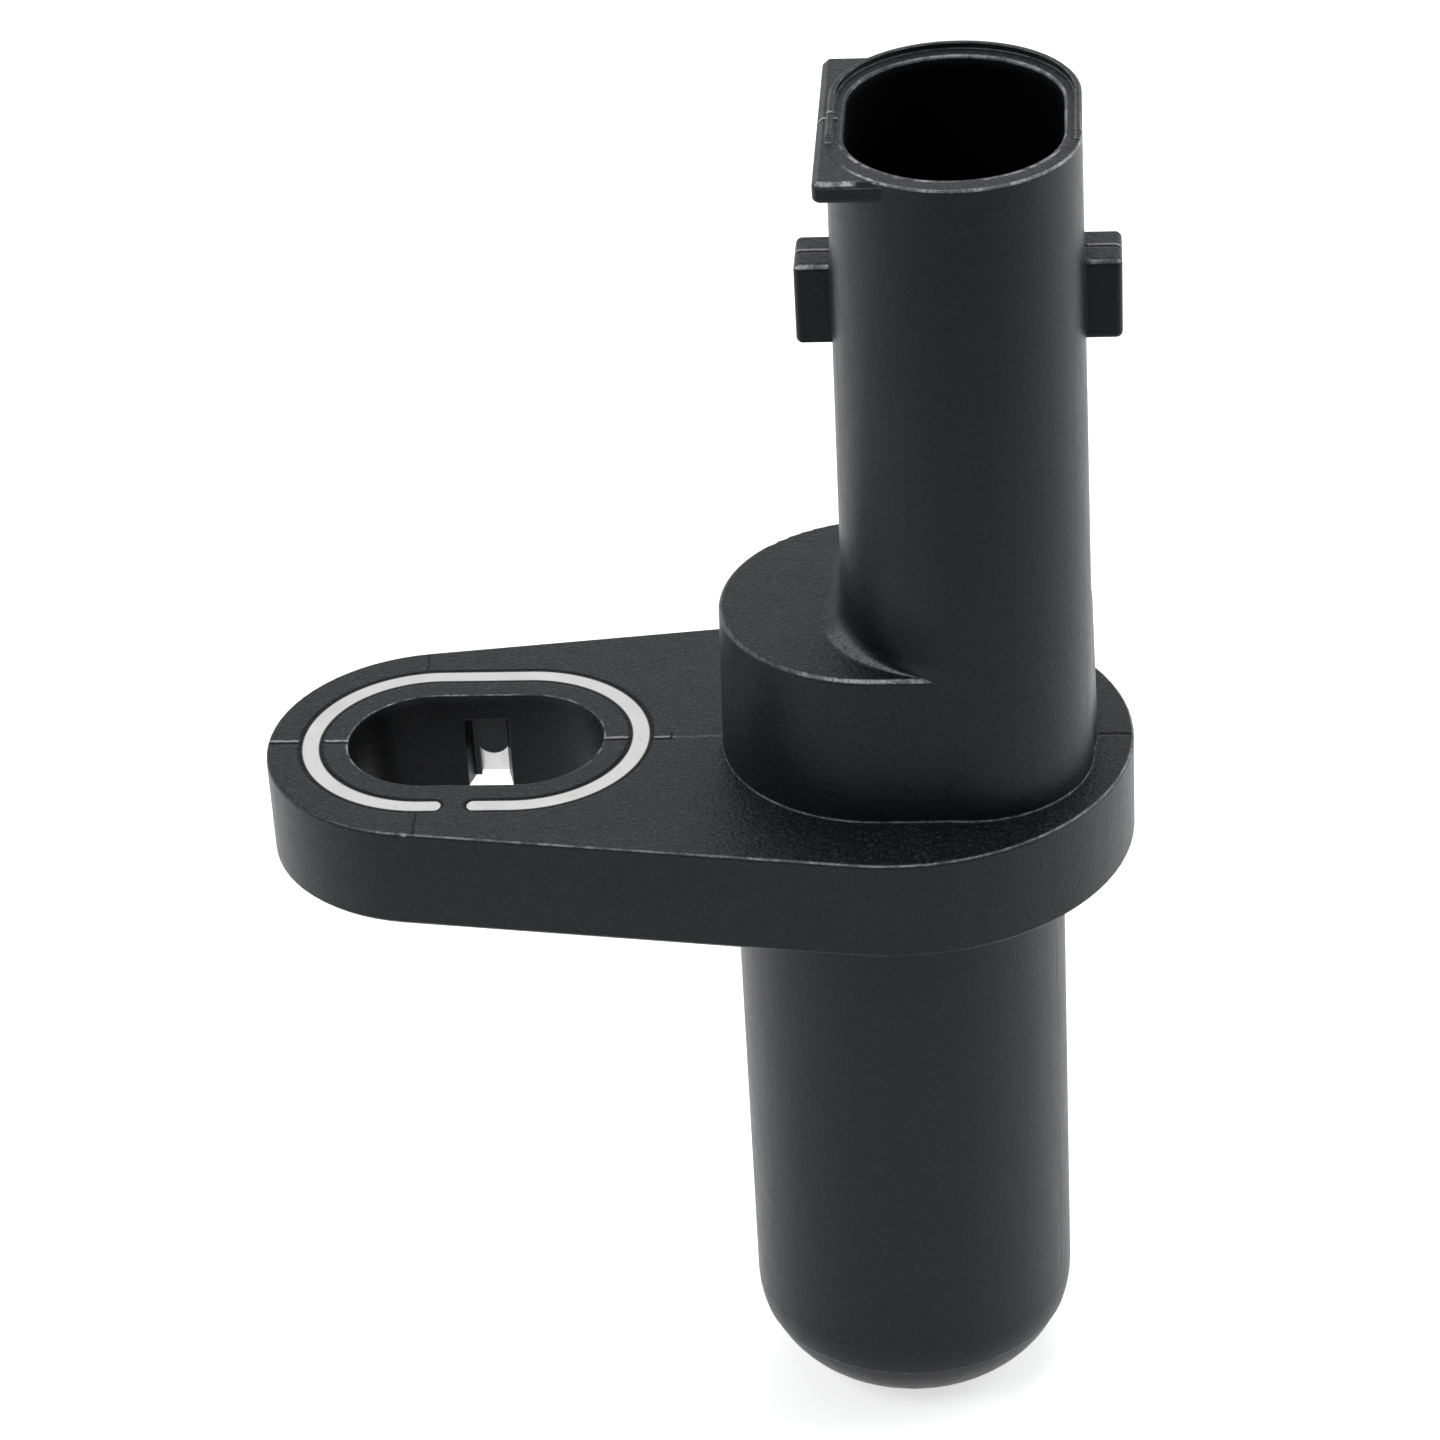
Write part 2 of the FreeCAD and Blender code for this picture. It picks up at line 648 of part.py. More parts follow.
def make_lead(name, place_index):
    """Make one chip lead: out of the chip's side, round a bend and up the carrier's flat."""
    made = body(name)
    outline = sketch(made, name + "Outline", "XZ_Plane", "0 - %d * tail_pitch" % place_index)
    low = LEAD_MIDDLE + " - lead_thickness / 2"
    high = LEAD_MIDDLE + " + lead_thickness / 2"
    polygon(outline, [
        ("chip_width / 2", low),
        (TAIL_FACE, low),
        (TAIL_FACE, LEAD_END),
        (LEAD_FACE, LEAD_END),
        (LEAD_FACE, high),
        ("chip_width / 2", high)])
    pad(made, outline, "lead_width", midplane=True)
    corner = number(low)
    reach = number(TAIL_FACE)
    dress(made, "Fillet", name + "Bend",
          lambda edge: level(edge, corner) and abs(edge.BoundBox.XMin - reach) < 1e-4, "lead_bend")
    return made


def make_round(name, radius, height, bottom):
    """Make a plain upright disc or rod on the shank's axis."""
    made = doc.addObject("Part::Cylinder", name)
    made.Label = name
    made.setExpression("Radius", size(radius))
    made.setExpression("Height", size(height))
    made.setExpression(".Placement.Base.z", size(bottom))
    return made


def make_capacitor(name, place_index):
    """Make one capacitor, which lies across two neighbouring tails."""
    made = doc.addObject("Part::Box", name)
    made.Label = name
    rise = "capacitor_rise + capacitor_pitch * %d" % ((place_index + 1) // 2)
    made.setExpression("Length", size("capacitor_height"))
    made.setExpression("Width", size("tail_pitch + tail_width"))
    made.setExpression("Height", size("capacitor_width"))
    made.setExpression(".Placement.Base.x", size("neck_offset + terminal_thickness / 2"))
    start = "%d * tail_pitch / 2 - ( tail_pitch + tail_width ) / 2" % place_index
    made.setExpression(".Placement.Base.y", size(start))
    made.setExpression(".Placement.Base.z", size(LEAD_END + " + " + rise))
    return made


def make_carrier_blank():
    """Make the moulded carrier before its inserts: a D-shaped bar under a terminal block."""
    made = body("carrier_blank")
    bar = sketch(made, "CarrierBar", offset=CARRIER_BOTTOM)
    circle(bar, "0", "0", CARRIER_RADIUS)
    pad(made, bar, BLOCK_BOTTOM + " - " + CARRIER_BOTTOM)
    beyond = CARRIER_RADIUS + " + terminal_thickness"
    for name, face, top in (("TailFlat", TAIL_FACE, BLOCK_BOTTOM), ("LeadFlat", LEAD_FACE, LEAD_END)):
        flat = sketch(made, name, offset=top)
        polygon(flat, [
            (face, "0 - " + beyond),
            (beyond, "0 - " + beyond),
            (beyond, beyond),
            (face, beyond)])
        pocket(made, flat, top + " - " + CARRIER_BOTTOM)
    block = sketch(made, "TerminalBlock", offset=BLOCK_BOTTOM)
    cover = "( terminal_thickness / 2 + block_face_wall )"
    depth = "( blade_pitch + blade_width / 2 + block_end_wall )"
    polygon(block, [
        ("neck_offset - " + cover, "0 - " + depth),
        ("neck_offset + " + cover, "0 - " + depth),
        ("neck_offset + " + cover, depth),
        ("neck_offset - " + cover, depth)])
    pad(made, block, "block_height")
    return made


# Build every piece, then mould the carrier and the housing round what they hold

sleeve = make_sleeve()
terminals = [make_terminal(name, index) for name, index in TERMINALS]
chip = make_chip()
leads = [make_lead(name.replace("terminal", "chip_lead"), index) for name, index in TERMINALS]
pole_disc = make_round("pole_disc", MAGNET_RADIUS, "pole_disc_thickness", CARRIER_BOTTOM)
magnet_bottom = CARRIER_BOTTOM + " + pole_disc_thickness"
magnet = make_round("bias_magnet", MAGNET_RADIUS, "magnet_height", magnet_bottom)
capacitors = [make_capacitor("supply_capacitor", -1), make_capacitor("signal_capacitor", 1)]
doc.recompute()

carrier_inserts = join("MultiFuse", "carrier_inserts", terminals + leads + [pole_disc, magnet])
carrier = join("Cut", "chip_carrier", [make_carrier_blank(), carrier_inserts])
outside = [make_shank(), make_flange(), make_boss(), make_neck(), make_blend(), make_plate(), make_lugs()]
moulding = join("MultiFuse", "moulding", outside)
held = [sleeve, carrier, chip, pole_disc, magnet] + terminals + leads + capacitors
space = join("MultiFuse", "moulded_round", held + [make_socket(), make_window()])
housing = join("Cut", "housing", [moulding, space])

NODES = [housing, carrier, sleeve, chip, pole_disc, magnet] + terminals + leads + capacitors


def check():
    """Stop on a failed object or a bad shape, before anything is written."""
    doc.recompute()
    for item in doc.Objects:
        if "Invalid" in item.State or "Error" in item.State:
            raise RuntimeError("failed object: " + item.Label)
    for item in NODES:
        if item.Shape.isNull() or not item.Shape.isValid() or item.Shape.Volume <= 0:
            raise RuntimeError("bad shape: " + item.Label)


check()
os.makedirs("parts", exist_ok=True)
for item in NODES:
    item.Shape.exportStep("parts/%s.step" % item.Label)
    print("%-18s %2d solid  %9.2f mm3" % (item.Label, len(item.Shape.Solids), item.Shape.Volume))
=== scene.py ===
import json
import bpy
from mathutils import Matrix, Vector


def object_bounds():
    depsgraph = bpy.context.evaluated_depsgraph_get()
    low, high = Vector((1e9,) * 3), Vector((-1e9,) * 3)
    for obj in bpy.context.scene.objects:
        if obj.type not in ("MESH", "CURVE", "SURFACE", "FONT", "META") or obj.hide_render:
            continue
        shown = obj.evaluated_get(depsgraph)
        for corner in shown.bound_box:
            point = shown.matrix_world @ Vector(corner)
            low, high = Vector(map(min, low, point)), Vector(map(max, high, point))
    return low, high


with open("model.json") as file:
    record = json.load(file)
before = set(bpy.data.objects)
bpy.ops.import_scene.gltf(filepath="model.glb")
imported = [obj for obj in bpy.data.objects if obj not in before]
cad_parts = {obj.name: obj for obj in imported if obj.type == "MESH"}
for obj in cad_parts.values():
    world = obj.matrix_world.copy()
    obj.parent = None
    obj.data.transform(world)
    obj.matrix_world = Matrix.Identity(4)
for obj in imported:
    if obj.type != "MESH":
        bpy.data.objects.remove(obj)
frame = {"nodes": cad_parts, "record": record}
cad_low, cad_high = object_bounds()
nodes = frame["nodes"]

# Heights on the part, in millimetres
TIP_STEP = -31.43
FLANGE_TOP = 5.82
BOSS_TOP = 14.47
LUG_TOP = 35.0
PLATE_TOP = 42.36
RIM_TOP = 42.78

# The shroud: an oval round the neck's axis, with the mouth inside it and the lip's front end
NECK_X = 4.11
SHROUD_HALF_RUN = 2.15
SHROUD_RADIUS = 6.41
MOUTH_HALF_RUN = 1.8
MOUTH_RADIUS = 5.58
LIP_END = -2.5

# The screw slot, the sleeve round it and the sleeve's split
SLOT_X = -22.86
SLOT_HALF_RUN = 2.43
SLOT_RADIUS = 4.58
SLEEVE_INNER = 6.1
SLEEVE_OUTER = 7.13
SPLIT_X = -23.41
SPLIT_HALF = 1.3
SPLIT_LEFT = -24.625
SPLIT_RIGHT = -22.195
SPLIT_Y = -6.615
SPLIT_ROUND = 0.59

# Marks that the mould left on the flange and the shank
FRONT_KNIT_X = -25.34
BACK_KNIT_X = -25.9
CHIP_X = -25.6
TICK_X = -12.15
SHANK_SEAM = (0.3256, 0.9455)

# Linear colours of the black plastic, its painted shade and its painted glints and highlights, from the
# darkest to the palest
PITCH = (0.001, 0.001, 0.001, 1)
PLASTIC_DARK = (0.0040, 0.0048, 0.0068, 1)
PLASTIC_LIGHT = (0.0078, 0.0086, 0.0108, 1)
CREST_GLINT = (0.075, 0.077, 0.083, 1)
RUBBED_AND_HIGHLIGHT = (0.16, 0.165, 0.17, 1)
BURR = (0.3, 0.3, 0.31, 1)
WORN_AND_HIGHLIGHT = (0.5, 0.5, 0.51, 1)


class Paint:
    """One node material. Its sums work on the point's place in millimetres and on its normal."""

    def __init__(self, name):
        self.made = bpy.data.materials.new(name)
        self.made.use_nodes = True
        self.tree = self.made.node_tree
        self.shader = self.tree.nodes["Principled BSDF"]
        self.place = self.sum_of("SCALE", self.add("ShaderNodeTexCoord").outputs["Object"], scale=1000)
        self.x, self.y, self.z = self.parts(self.place)
        self.normal = self.add("ShaderNodeNewGeometry").outputs["Normal"]
        self.nx, self.ny, self.nz = self.parts(self.normal)

    def add(self, kind, **settings):
        node = self.tree.nodes.new(kind)
        for key, value in settings.items():
            setattr(node, key, value)
        return node

    def put(self, socket, value):
        if isinstance(value, bpy.types.NodeSocket):
            self.tree.links.new(value, socket)
        else:
            socket.default_value = value

    def parts(self, vector):
        node = self.add("ShaderNodeSeparateXYZ")
        self.put(node.inputs[0], vector)
        return node.outputs[0], node.outputs[1], node.outputs[2]

    def sum_of(self, kind, first, second=None, scale=None):
        node = self.add("ShaderNodeVectorMath", operation=kind)
        self.put(node.inputs[0], first)
        if second is not None:
            self.put(node.inputs[1], second)
        if scale is not None:
            self.put(node.inputs["Scale"], scale)
        return node.outputs["Value"] if kind == "DOT_PRODUCT" else node.outputs["Vector"]

    def do(self, kind, first, second=0.0, clamp=False):
        node = self.add("ShaderNodeMath", operation=kind, use_clamp=clamp)
        self.put(node.inputs[0], first)
        self.put(node.inputs[1], second)
        return node.outputs[0]

    def off(self, value, middle):
        return self.do("SUBTRACT", value, middle)

    def times(self, first, *others):
        for other in others:
            first = self.do("MULTIPLY", first, other)
        return first

    def most(self, first, *others):
        for other in others:
            first = self.do("MAXIMUM", first, other)
        return first

    def reach(self, first, second):
        """Distance from an axis, given how far the point is from it in two directions."""
        return self.do("SQRT", self.do("ADD", self.times(first, first), self.times(second, second)))

    def step(self, value, low, high):
        """Mask that rises smoothly from 0 at low to 1 at high, where high may be the lesser."""
        node = self.add("ShaderNodeMapRange", interpolation_type="SMOOTHSTEP")
        self.put(node.inputs["Value"], value)
        node.inputs["From Min"].default_value = low
        node.inputs["From Max"].default_value = high
        return node.outputs["Result"]

    def line(self, value, middle, half):
        """Mask of a soft line, 1 in its middle and 0 from half its width on."""
        away = self.do("ABSOLUTE", self.off(value, middle))
        return self.step(away, half, half * 0.2)

    def oval(self, run, side, half_run, radius):
        """Signed distance from an oval's outline, given the point's way along and across it."""
        over = self.do("MAXIMUM", self.off(self.do("ABSOLUTE", run), half_run), 0.0)
        return self.off(self.reach(over, side), radius)

    def ring(self, x, y, radius, half):
        """Mask of a thin ring round an upright axis."""
        return self.line(self.reach(self.off(self.x, x), self.off(self.y, y)), radius, half)

    def noise(self, scale, detail=2.0, rough=0.5, stretch=(1, 1, 1)):
        node = self.add("ShaderNodeTexNoise")
        self.put(node.inputs["Vector"], self.sum_of("MULTIPLY", self.place, stretch))
        node.inputs["Scale"].default_value = scale
        node.inputs["Detail"].default_value = detail
        node.inputs["Roughness"].default_value = rough
        return node.outputs["Fac"]

    def colour(self, first, second, share):
        node = self.add("ShaderNodeMix", data_type="RGBA")
        self.put(node.inputs["Factor"], share)
        self.put(node.inputs["A"], first)
        self.put(node.inputs["B"], second)
        return node.outputs["Result"]

    def bump(self, height, depth, strength=1.0, normal=None):
        """Normal of a relief whose depth is in millimetres."""
        node = self.add("ShaderNodeBump")
        node.inputs["Distance"].default_value = depth / 1000
        self.put(node.inputs["Strength"], strength)
        self.put(node.inputs["Height"], height)
        if normal is not None:
            self.put(node.inputs["Normal"], normal)
        return node.outputs["Normal"]

    def finish(self, colour, rough, normal, metal=0.0, specular=0.5):
        self.put(self.shader.inputs["Base Color"], colour)
        self.put(self.shader.inputs["Roughness"], rough)
        self.put(self.shader.inputs["Metallic"], metal)
        self.put(self.shader.inputs["Specular IOR Level"], specular)
        self.put(self.shader.inputs["Normal"], normal)
        return self.made


class HousingPaint(Paint):
    """The housing's grained black plastic, with its worn edges, its painted highlights and shade, and the
    marks of its mould.
    """

    def __init__(self, name):
        super().__init__(name)

        # Which way a face looks
        self.upright = self.step(self.nz, 0.8, 0.97)
        self.curved = self.times(self.step(self.nz, 0.12, 0.4), self.step(self.nz, 0.98, 0.88))
        self.wall = self.step(self.nz, 0.3, 0.1)
        self.facing = self.step(self.ny, -0.2, -0.4)

        # Where a point lies
        self.front = self.step(self.y, -2.5, -5.0)
        self.slot = self.oval(self.off(self.x, SLOT_X), self.y, SLOT_HALF_RUN, 0.0)
        aside = self.off(self.x, NECK_X)
        self.mouth = self.oval(self.y, aside, MOUTH_HALF_RUN, MOUTH_RADIUS)
        self.shroud = self.oval(self.y, aside, SHROUD_HALF_RUN, SHROUD_RADIUS)
        self.beside_neck = self.step(self.do("ABSOLUTE", aside), 6.5, 6.6)

        # Softened edges, and the patches and specks in which they are rubbed and carry a painted highlight
        bevel = self.add("ShaderNodeBevel", samples=4)
        bevel.inputs["Radius"].default_value = 0.00012
        self.soft = bevel.outputs["Normal"]
        turn = self.off(1.0, self.sum_of("DOT_PRODUCT", self.soft, self.normal))
        self.sharp = self.step(turn, 0.02, 0.1)
        self.patchy = self.step(self.noise(1.1, 3.0, 0.6), 0.38, 0.6)
        self.broken = self.do("ADD", 0.35, self.times(self.patchy, 0.65))
        self.speckle = self.step(self.noise(6.0, 3.0, 0.7), 0.36, 0.56)

    def rim_wear_and_highlight(self):
        # Pale lines on the rim's edges and lip: partly wear, partly painted highlights
        corner = self.times(self.sharp, self.step(self.z, RIM_TOP - 0.8, RIM_TOP - 0.6))
        corner = self.times(corner, self.step(self.x, -4.0, 0.0), 0.5)
        outer = self.times(self.line(self.shroud, 0.0, 0.13), self.step(self.z, PLATE_TOP - 0.08, PLATE_TOP))
        outer = self.times(outer, self.step(self.y, 1.0, -4.0), self.step(self.x, -1.5, -0.5))
        inner = self.times(self.curved, self.line(self.mouth, 0.1, 0.2))
        inner = self.times(inner, self.line(self.z, RIM_TOP - 0.4, 0.2), self.step(self.x, -1.0, 3.0), 0.8)
        lip = self.times(self.upright, self.line(self.mouth, 0.2, 0.12), self.patchy)
        lip = self.times(lip, self.step(self.z, PLATE_TOP - 0.06, PLATE_TOP + 0.04))
        lip = self.times(lip, self.step(self.y, -2.0, -5.0), 0.7)
        lip_end = self.times(self.step(self.ny, -0.5, -0.6), self.line(self.z, RIM_TOP - 0.17, 0.2))
        lip_end = self.times(lip_end, self.line(self.y, LIP_END - 0.17, 0.4), self.curved, 0.25)
        return self.most(corner, outer, inner, lip, lip_end)

    def edge_wear_and_highlight(self):
        # Pale lines on the edges: partly wear, partly painted highlights where the rounds catch the light
        flange = self.times(self.curved, self.line(self.z, FLANGE_TOP - 0.05, 0.07))
        flange = self.times(flange, self.step(self.x, -33.0, -25.0), 0.5)
        slot = self.times(self.upright, self.line(self.slot, SLOT_RADIUS + 0.06, 0.09))
        slot = self.times(slot, self.step(self.y, -4.0, -1.0), 0.6, self.patchy)
        # Painted highlight along the foot of the walls, where they stand on the flange
        foot = self.times(self.wall, self.line(self.z, FLANGE_TOP + 0.02, 0.13))
        foot = self.times(foot, self.step(self.z, FLANGE_TOP - 0.01, FLANGE_TOP), 0.55)
        boss = self.times(self.curved, self.line(self.z, BOSS_TOP - 0.09, 0.14))
        boss = self.times(boss, self.most(self.times(self.front, self.step(self.x, -6.5, -3.0)), 0.2))
        plate = self.times(self.curved, self.line(self.z, PLATE_TOP, 0.16), self.facing)
        plate = self.times(plate, self.step(self.x, -0.5, -1.0), 1.3)
        lugs = self.times(self.curved, self.beside_neck, self.line(self.z, LUG_TOP, 0.16), self.facing)
        tip = self.times(self.line(self.z, TIP_STEP, 0.14), self.step(self.noise(0.35, 2.0), 0.4, 0.6), 0.35)
        bright = self.most(self.rim_wear_and_highlight(), flange, slot, foot, boss, plate, lugs, tip)
        return self.times(bright, self.broken, self.do("ADD", 0.45, self.times(self.speckle, 0.7)))

    def blend_painted_highlight(self):
        """Painted highlight on the blend at the neck's foot, brightest where it runs out on the right."""
        blend = self.times(self.step(self.nz, 0.4, 0.8), self.step(self.nz, 0.998, 0.97), self.front)
        blend = self.times(blend, self.step(self.x, 3.0, 2.0))
        blend = self.times(blend, self.step(self.z, BOSS_TOP, BOSS_TOP + 0.04))
        blend = self.times(blend, self.step(self.z, BOSS_TOP + 1.4, BOSS_TOP + 0.7))
        more = self.do("ADD", 0.6, self.step(self.x, -2.0, 1.0))
        return self.times(blend, self.do("ADD", 0.25, self.times(self.speckle, more)))

    def boss_painted_reflection(self):
        """Painted reflection: the neck is darkened where it would mirror the dark boss just above the blend.
        """
        low = self.step(self.z, BOSS_TOP + 0.4, BOSS_TOP + 1.0)
        high = self.step(self.z, BOSS_TOP + 5.0, BOSS_TOP + 1.6)
        return self.times(low, high, self.wall, self.front, self.step(self.x, 4.0, 0.5))

    def parting_line(self):
        """The parting line runs along the middle: its pale ridge and the dark dip beside it."""
        waver = self.do("ADD", self.y, self.times(self.off(self.noise(1.6, 2.0), 0.5), 0.22))
        ridge = self.line(waver, 0.07, 0.15)
        below = self.line(waver, -0.21, 0.2)

        # Burrs on the liner, at the flange's end and in a short stub beyond the sleeve
        liner = self.step(self.slot, SLEEVE_INNER, SLEEVE_INNER - 0.05)
        liner = self.times(liner, self.step(self.slot, SLOT_RADIUS - 0.03, SLOT_RADIUS + 0.02))
        outer_end = self.step(self.slot, SLEEVE_OUTER + 0.02, SLEEVE_OUTER + 0.07)
        outer_end = self.times(outer_end, self.step(self.x, -29.0, -29.5))
        stub = self.times(self.step(self.x, -13.5, -13.3), self.step(self.x, -11.9, -12.1))
        burr = self.most(liner, outer_end, stub)

        # Behind the neck the line is dark alone, and elsewhere on the flange it is faint
        behind_neck = self.step(self.x, 10.4, 10.6)
        faint = self.times(self.step(self.x, 10.6, 10.4), 0.2)
        flange = self.times(self.line(self.z, FLANGE_TOP, 0.6), self.upright, self.most(burr, faint))
        lugs = self.times(self.line(self.z, LUG_TOP + 0.1, 0.5), self.beside_neck)
        plate = self.times(self.step(self.x, -1.7, -1.9), self.step(self.z, 41.0, 41.3))
        seam = self.times(ridge, self.most(flange, lugs, plate))
        dip = self.times(self.most(burr, behind_neck), self.upright)
        dip = self.times(below, self.most(dip, lugs, plate))
        tick = self.times(self.line(self.x, TICK_X, 0.13), self.line(self.y, 0.1, 0.55), self.upright)
        return seam, self.most(dip, tick)

    def shank_seam(self):
        across = self.do("ADD", self.times(self.y, SHANK_SEAM[1]), self.times(self.x, SHANK_SEAM[0]))
        below = self.step(self.z, 0.0, -0.2)
        return self.times(self.line(across, 0.0, 0.07), below, self.step(self.x, 0.0, 1.0))

    def knit_lines(self):
        """Dark lines where the plastic met round the sleeve, and the chipped edge beside the front one."""
        front = self.times(self.line(self.x, FRONT_KNIT_X, 0.1), self.step(self.y, -7.1, -7.2))
        leaning = self.off(self.x, self.times(self.y, -0.05))
        back = self.times(self.line(leaning, BACK_KNIT_X, 0.1), self.step(self.y, 7.2, 7.3))
        chip = self.times(self.line(self.x, CHIP_X, 0.5), self.step(self.y, -9.0, -9.2))
        chip = self.times(chip, self.step(self.noise(5.0, 2.0), 0.42, 0.55), self.curved)
        return self.times(self.most(front, back), self.upright), chip

    def sleeve_gap(self):
        """Fine dark gap along both sides of the sleeve and round the two ends at its split."""
        inner = self.line(self.slot, SLEEVE_INNER - 0.08, 0.2)
        outer = self.line(self.slot, SLEEVE_OUTER + 0.08, 0.2)
        split = self.times(self.line(self.x, SPLIT_X, SPLIT_HALF), self.step(self.y, 0.0, -1.0))
        closed = self.off(1.0, self.step(split, 0.0, 0.05))
        left = self.ring(SPLIT_LEFT, SPLIT_Y, SPLIT_ROUND, 0.2)
        right = self.ring(SPLIT_RIGHT, SPLIT_Y, SPLIT_ROUND, 0.2)
        away = self.do("ABSOLUTE", self.off(self.x, SPLIT_X))
        ends = self.times(self.most(left, right), self.step(away, SPLIT_HALF, SPLIT_HALF - 0.1))
        return self.times(self.most(self.times(self.most(inner, outer), closed), ends), self.upright)

    def painted_shade(self):
        """Painted shade in the slot's well and on the lugs' fronts, and how dark it is."""
        well = self.step(self.slot, SLOT_RADIUS + 0.17, SLOT_RADIUS + 0.07)
        well = self.times(well, self.step(self.z, 5.8, 5.2))
        well = self.times(well, self.do("ADD", 0.3, self.times(self.step(self.x, -20.0, -25.0), 0.25)))
        lug_front = self.times(self.beside_neck, self.step(self.ny, -0.8, -0.95))
        return self.most(well, self.times(lug_front, self.step(self.z, 30.0, 30.5), 0.25))


def housing_paint():
    p = HousingPaint("housing_plastic_grained")
    seam, dip = p.parting_line()
    knit, chip = p.knit_lines()
    gap = p.sleeve_gap()
    shank_seam = p.shank_seam()
    blend = p.blend_painted_highlight()

    # The neck and the shank are smoother than the flange and the boss
    grain = p.noise(5.2, 3.0, 0.6)
    calm = p.times(p.wall, p.most(p.step(p.z, 0.0, -0.3), p.step(p.z, BOSS_TOP, BOSS_TOP + 1.0)))
    coarse = p.off(1.0, p.times(calm, 0.4))
    height = p.times(grain, p.do("ADD", p.times(coarse, 1.1), p.times(p.upright, 1.3)))
    height = p.do("ADD", height, p.times(seam, 1.8))
    height = p.off(height, p.times(p.most(knit, gap, shank_seam, dip), 2.2))

    # Cloudy black, with painted glints on the grain's crests, worn and rubbed edges with painted highlights,
    # and the blend's painted highlight
    cloud = p.noise(0.12, 2.0, 0.55)
    streak = p.noise(0.9, 3.0, 0.6, stretch=(1.0, 1.0, 0.2))
    base = p.colour(PLASTIC_DARK, PLASTIC_LIGHT, p.most(cloud, p.times(streak, 0.8)))
    # Painted glints on the grain's crests, stronger on upward faces
    crest_glint = p.times(p.step(grain, 0.52, 0.7), p.do("ADD", p.times(coarse, 0.1), p.times(p.upright, 0.22)))
    base = p.colour(base, CREST_GLINT, crest_glint)
    base = p.colour(base, RUBBED_AND_HIGHLIGHT, p.most(p.times(p.sharp, p.broken, 0.4), p.times(blend, 0.8)))
    base = p.colour(base, WORN_AND_HIGHLIGHT, p.times(p.edge_wear_and_highlight(), 0.8))
    base = p.colour(base, BURR, p.most(p.times(seam, 0.9), chip))

    # What is pitch dark: fine gaps and seams, and painted shade in the socket, the grain's pits, the slot's
    # well and on the lugs' fronts, and the painted reflection of the boss on the neck
    # Painted shade deep in the socket, which is also made rougher
    inside = p.times(p.step(p.mouth, 0.3, 0.1), p.step(p.z, RIM_TOP - 0.4, RIM_TOP - 1.0))
    inside = p.times(inside, p.step(p.z, 25.0, 26.0))
    # Painted shade in the grain's pits, deeper on upward faces
    painted_pit_shade = p.times(p.step(grain, 0.46, 0.34), p.do("ADD", p.times(coarse, 0.15), p.times(p.upright, 0.34)))
    black = p.most(p.times(knit, 0.9), gap, dip, p.times(shank_seam, 0.6), p.times(inside, 0.9))
    black = p.most(black, p.times(p.boss_painted_reflection(), 0.55), p.painted_shade(), painted_pit_shade)
    base = p.colour(base, PITCH, black)

    rough = p.do("ADD", 0.27, p.times(p.noise(1.4, 2.0), 0.1))
    rough = p.do("ADD", rough, p.times(streak, 0.12))
    rough = p.do("ADD", rough, p.times(inside, 0.3), clamp=True)
    relief = p.bump(height, 0.03, 0.9, p.soft)
    # The dark lines and the painted shade are also made metal, so that they take no gloss
    return p.finish(base, rough, relief, metal=p.times(black, 0.95), specular=0.21)


def sleeve_paint():
    p = Paint("sleeve_steel_satin")
    slot = p.oval(p.off(p.x, SLOT_X), p.y, SLOT_HALF_RUN, 0.0)
    pull = p.noise(1.5, 4.0, 0.6, stretch=(2.5, 2.5, 0.5))
    base = p.colour((0.52, 0.52, 0.51, 1), (0.67, 0.67, 0.66, 1), p.noise(0.5, 3.0))
    stain = p.times(p.step(p.noise(2.2, 4.0), 0.62, 0.8), 0.4)
    base = p.colour(base, (0.35, 0.34, 0.32, 1), stain)
    side = p.most(p.line(slot, SLEEVE_INNER, 0.12), p.line(slot, SLEEVE_OUTER, 0.12))
    base = p.colour(base, (0.008, 0.008, 0.008, 1), p.times(side, p.step(p.nz, 0.8, 0.97)))
    rough = p.do("ADD", 0.3, p.times(pull, 0.2))
    return p.finish(base, rough, p.bump(pull, 0.01, 0.6), metal=1.0)


def metal_paint(name, dark, light, low, high):
    """Drawn metal between two colours and two roughnesses."""
    p = Paint(name)
    pull = p.noise(1.2, 3.0, 0.6, stretch=(3.0, 3.0, 0.3))
    base = p.colour((*dark, 1), (*light, 1), p.noise(0.6, 3.0))
    rough = p.do("ADD", low, p.times(pull, high - low))
    return p.finish(base, rough, p.bump(pull, 0.008, 0.5), metal=1.0)


def moulded_paint(name, dark, light, low, high, scale, depth):
    """Grained solid between two colours and two roughnesses, its relief's depth in millimetres."""
    p = Paint(name)
    grain = p.noise(scale, 3.0, 0.6)
    base = p.colour((*dark, 1), (*light, 1), p.noise(0.4, 3.0))
    rough = p.do("ADD", low, p.times(grain, high - low))
    return p.finish(base, rough, p.bump(grain, depth, 0.6))


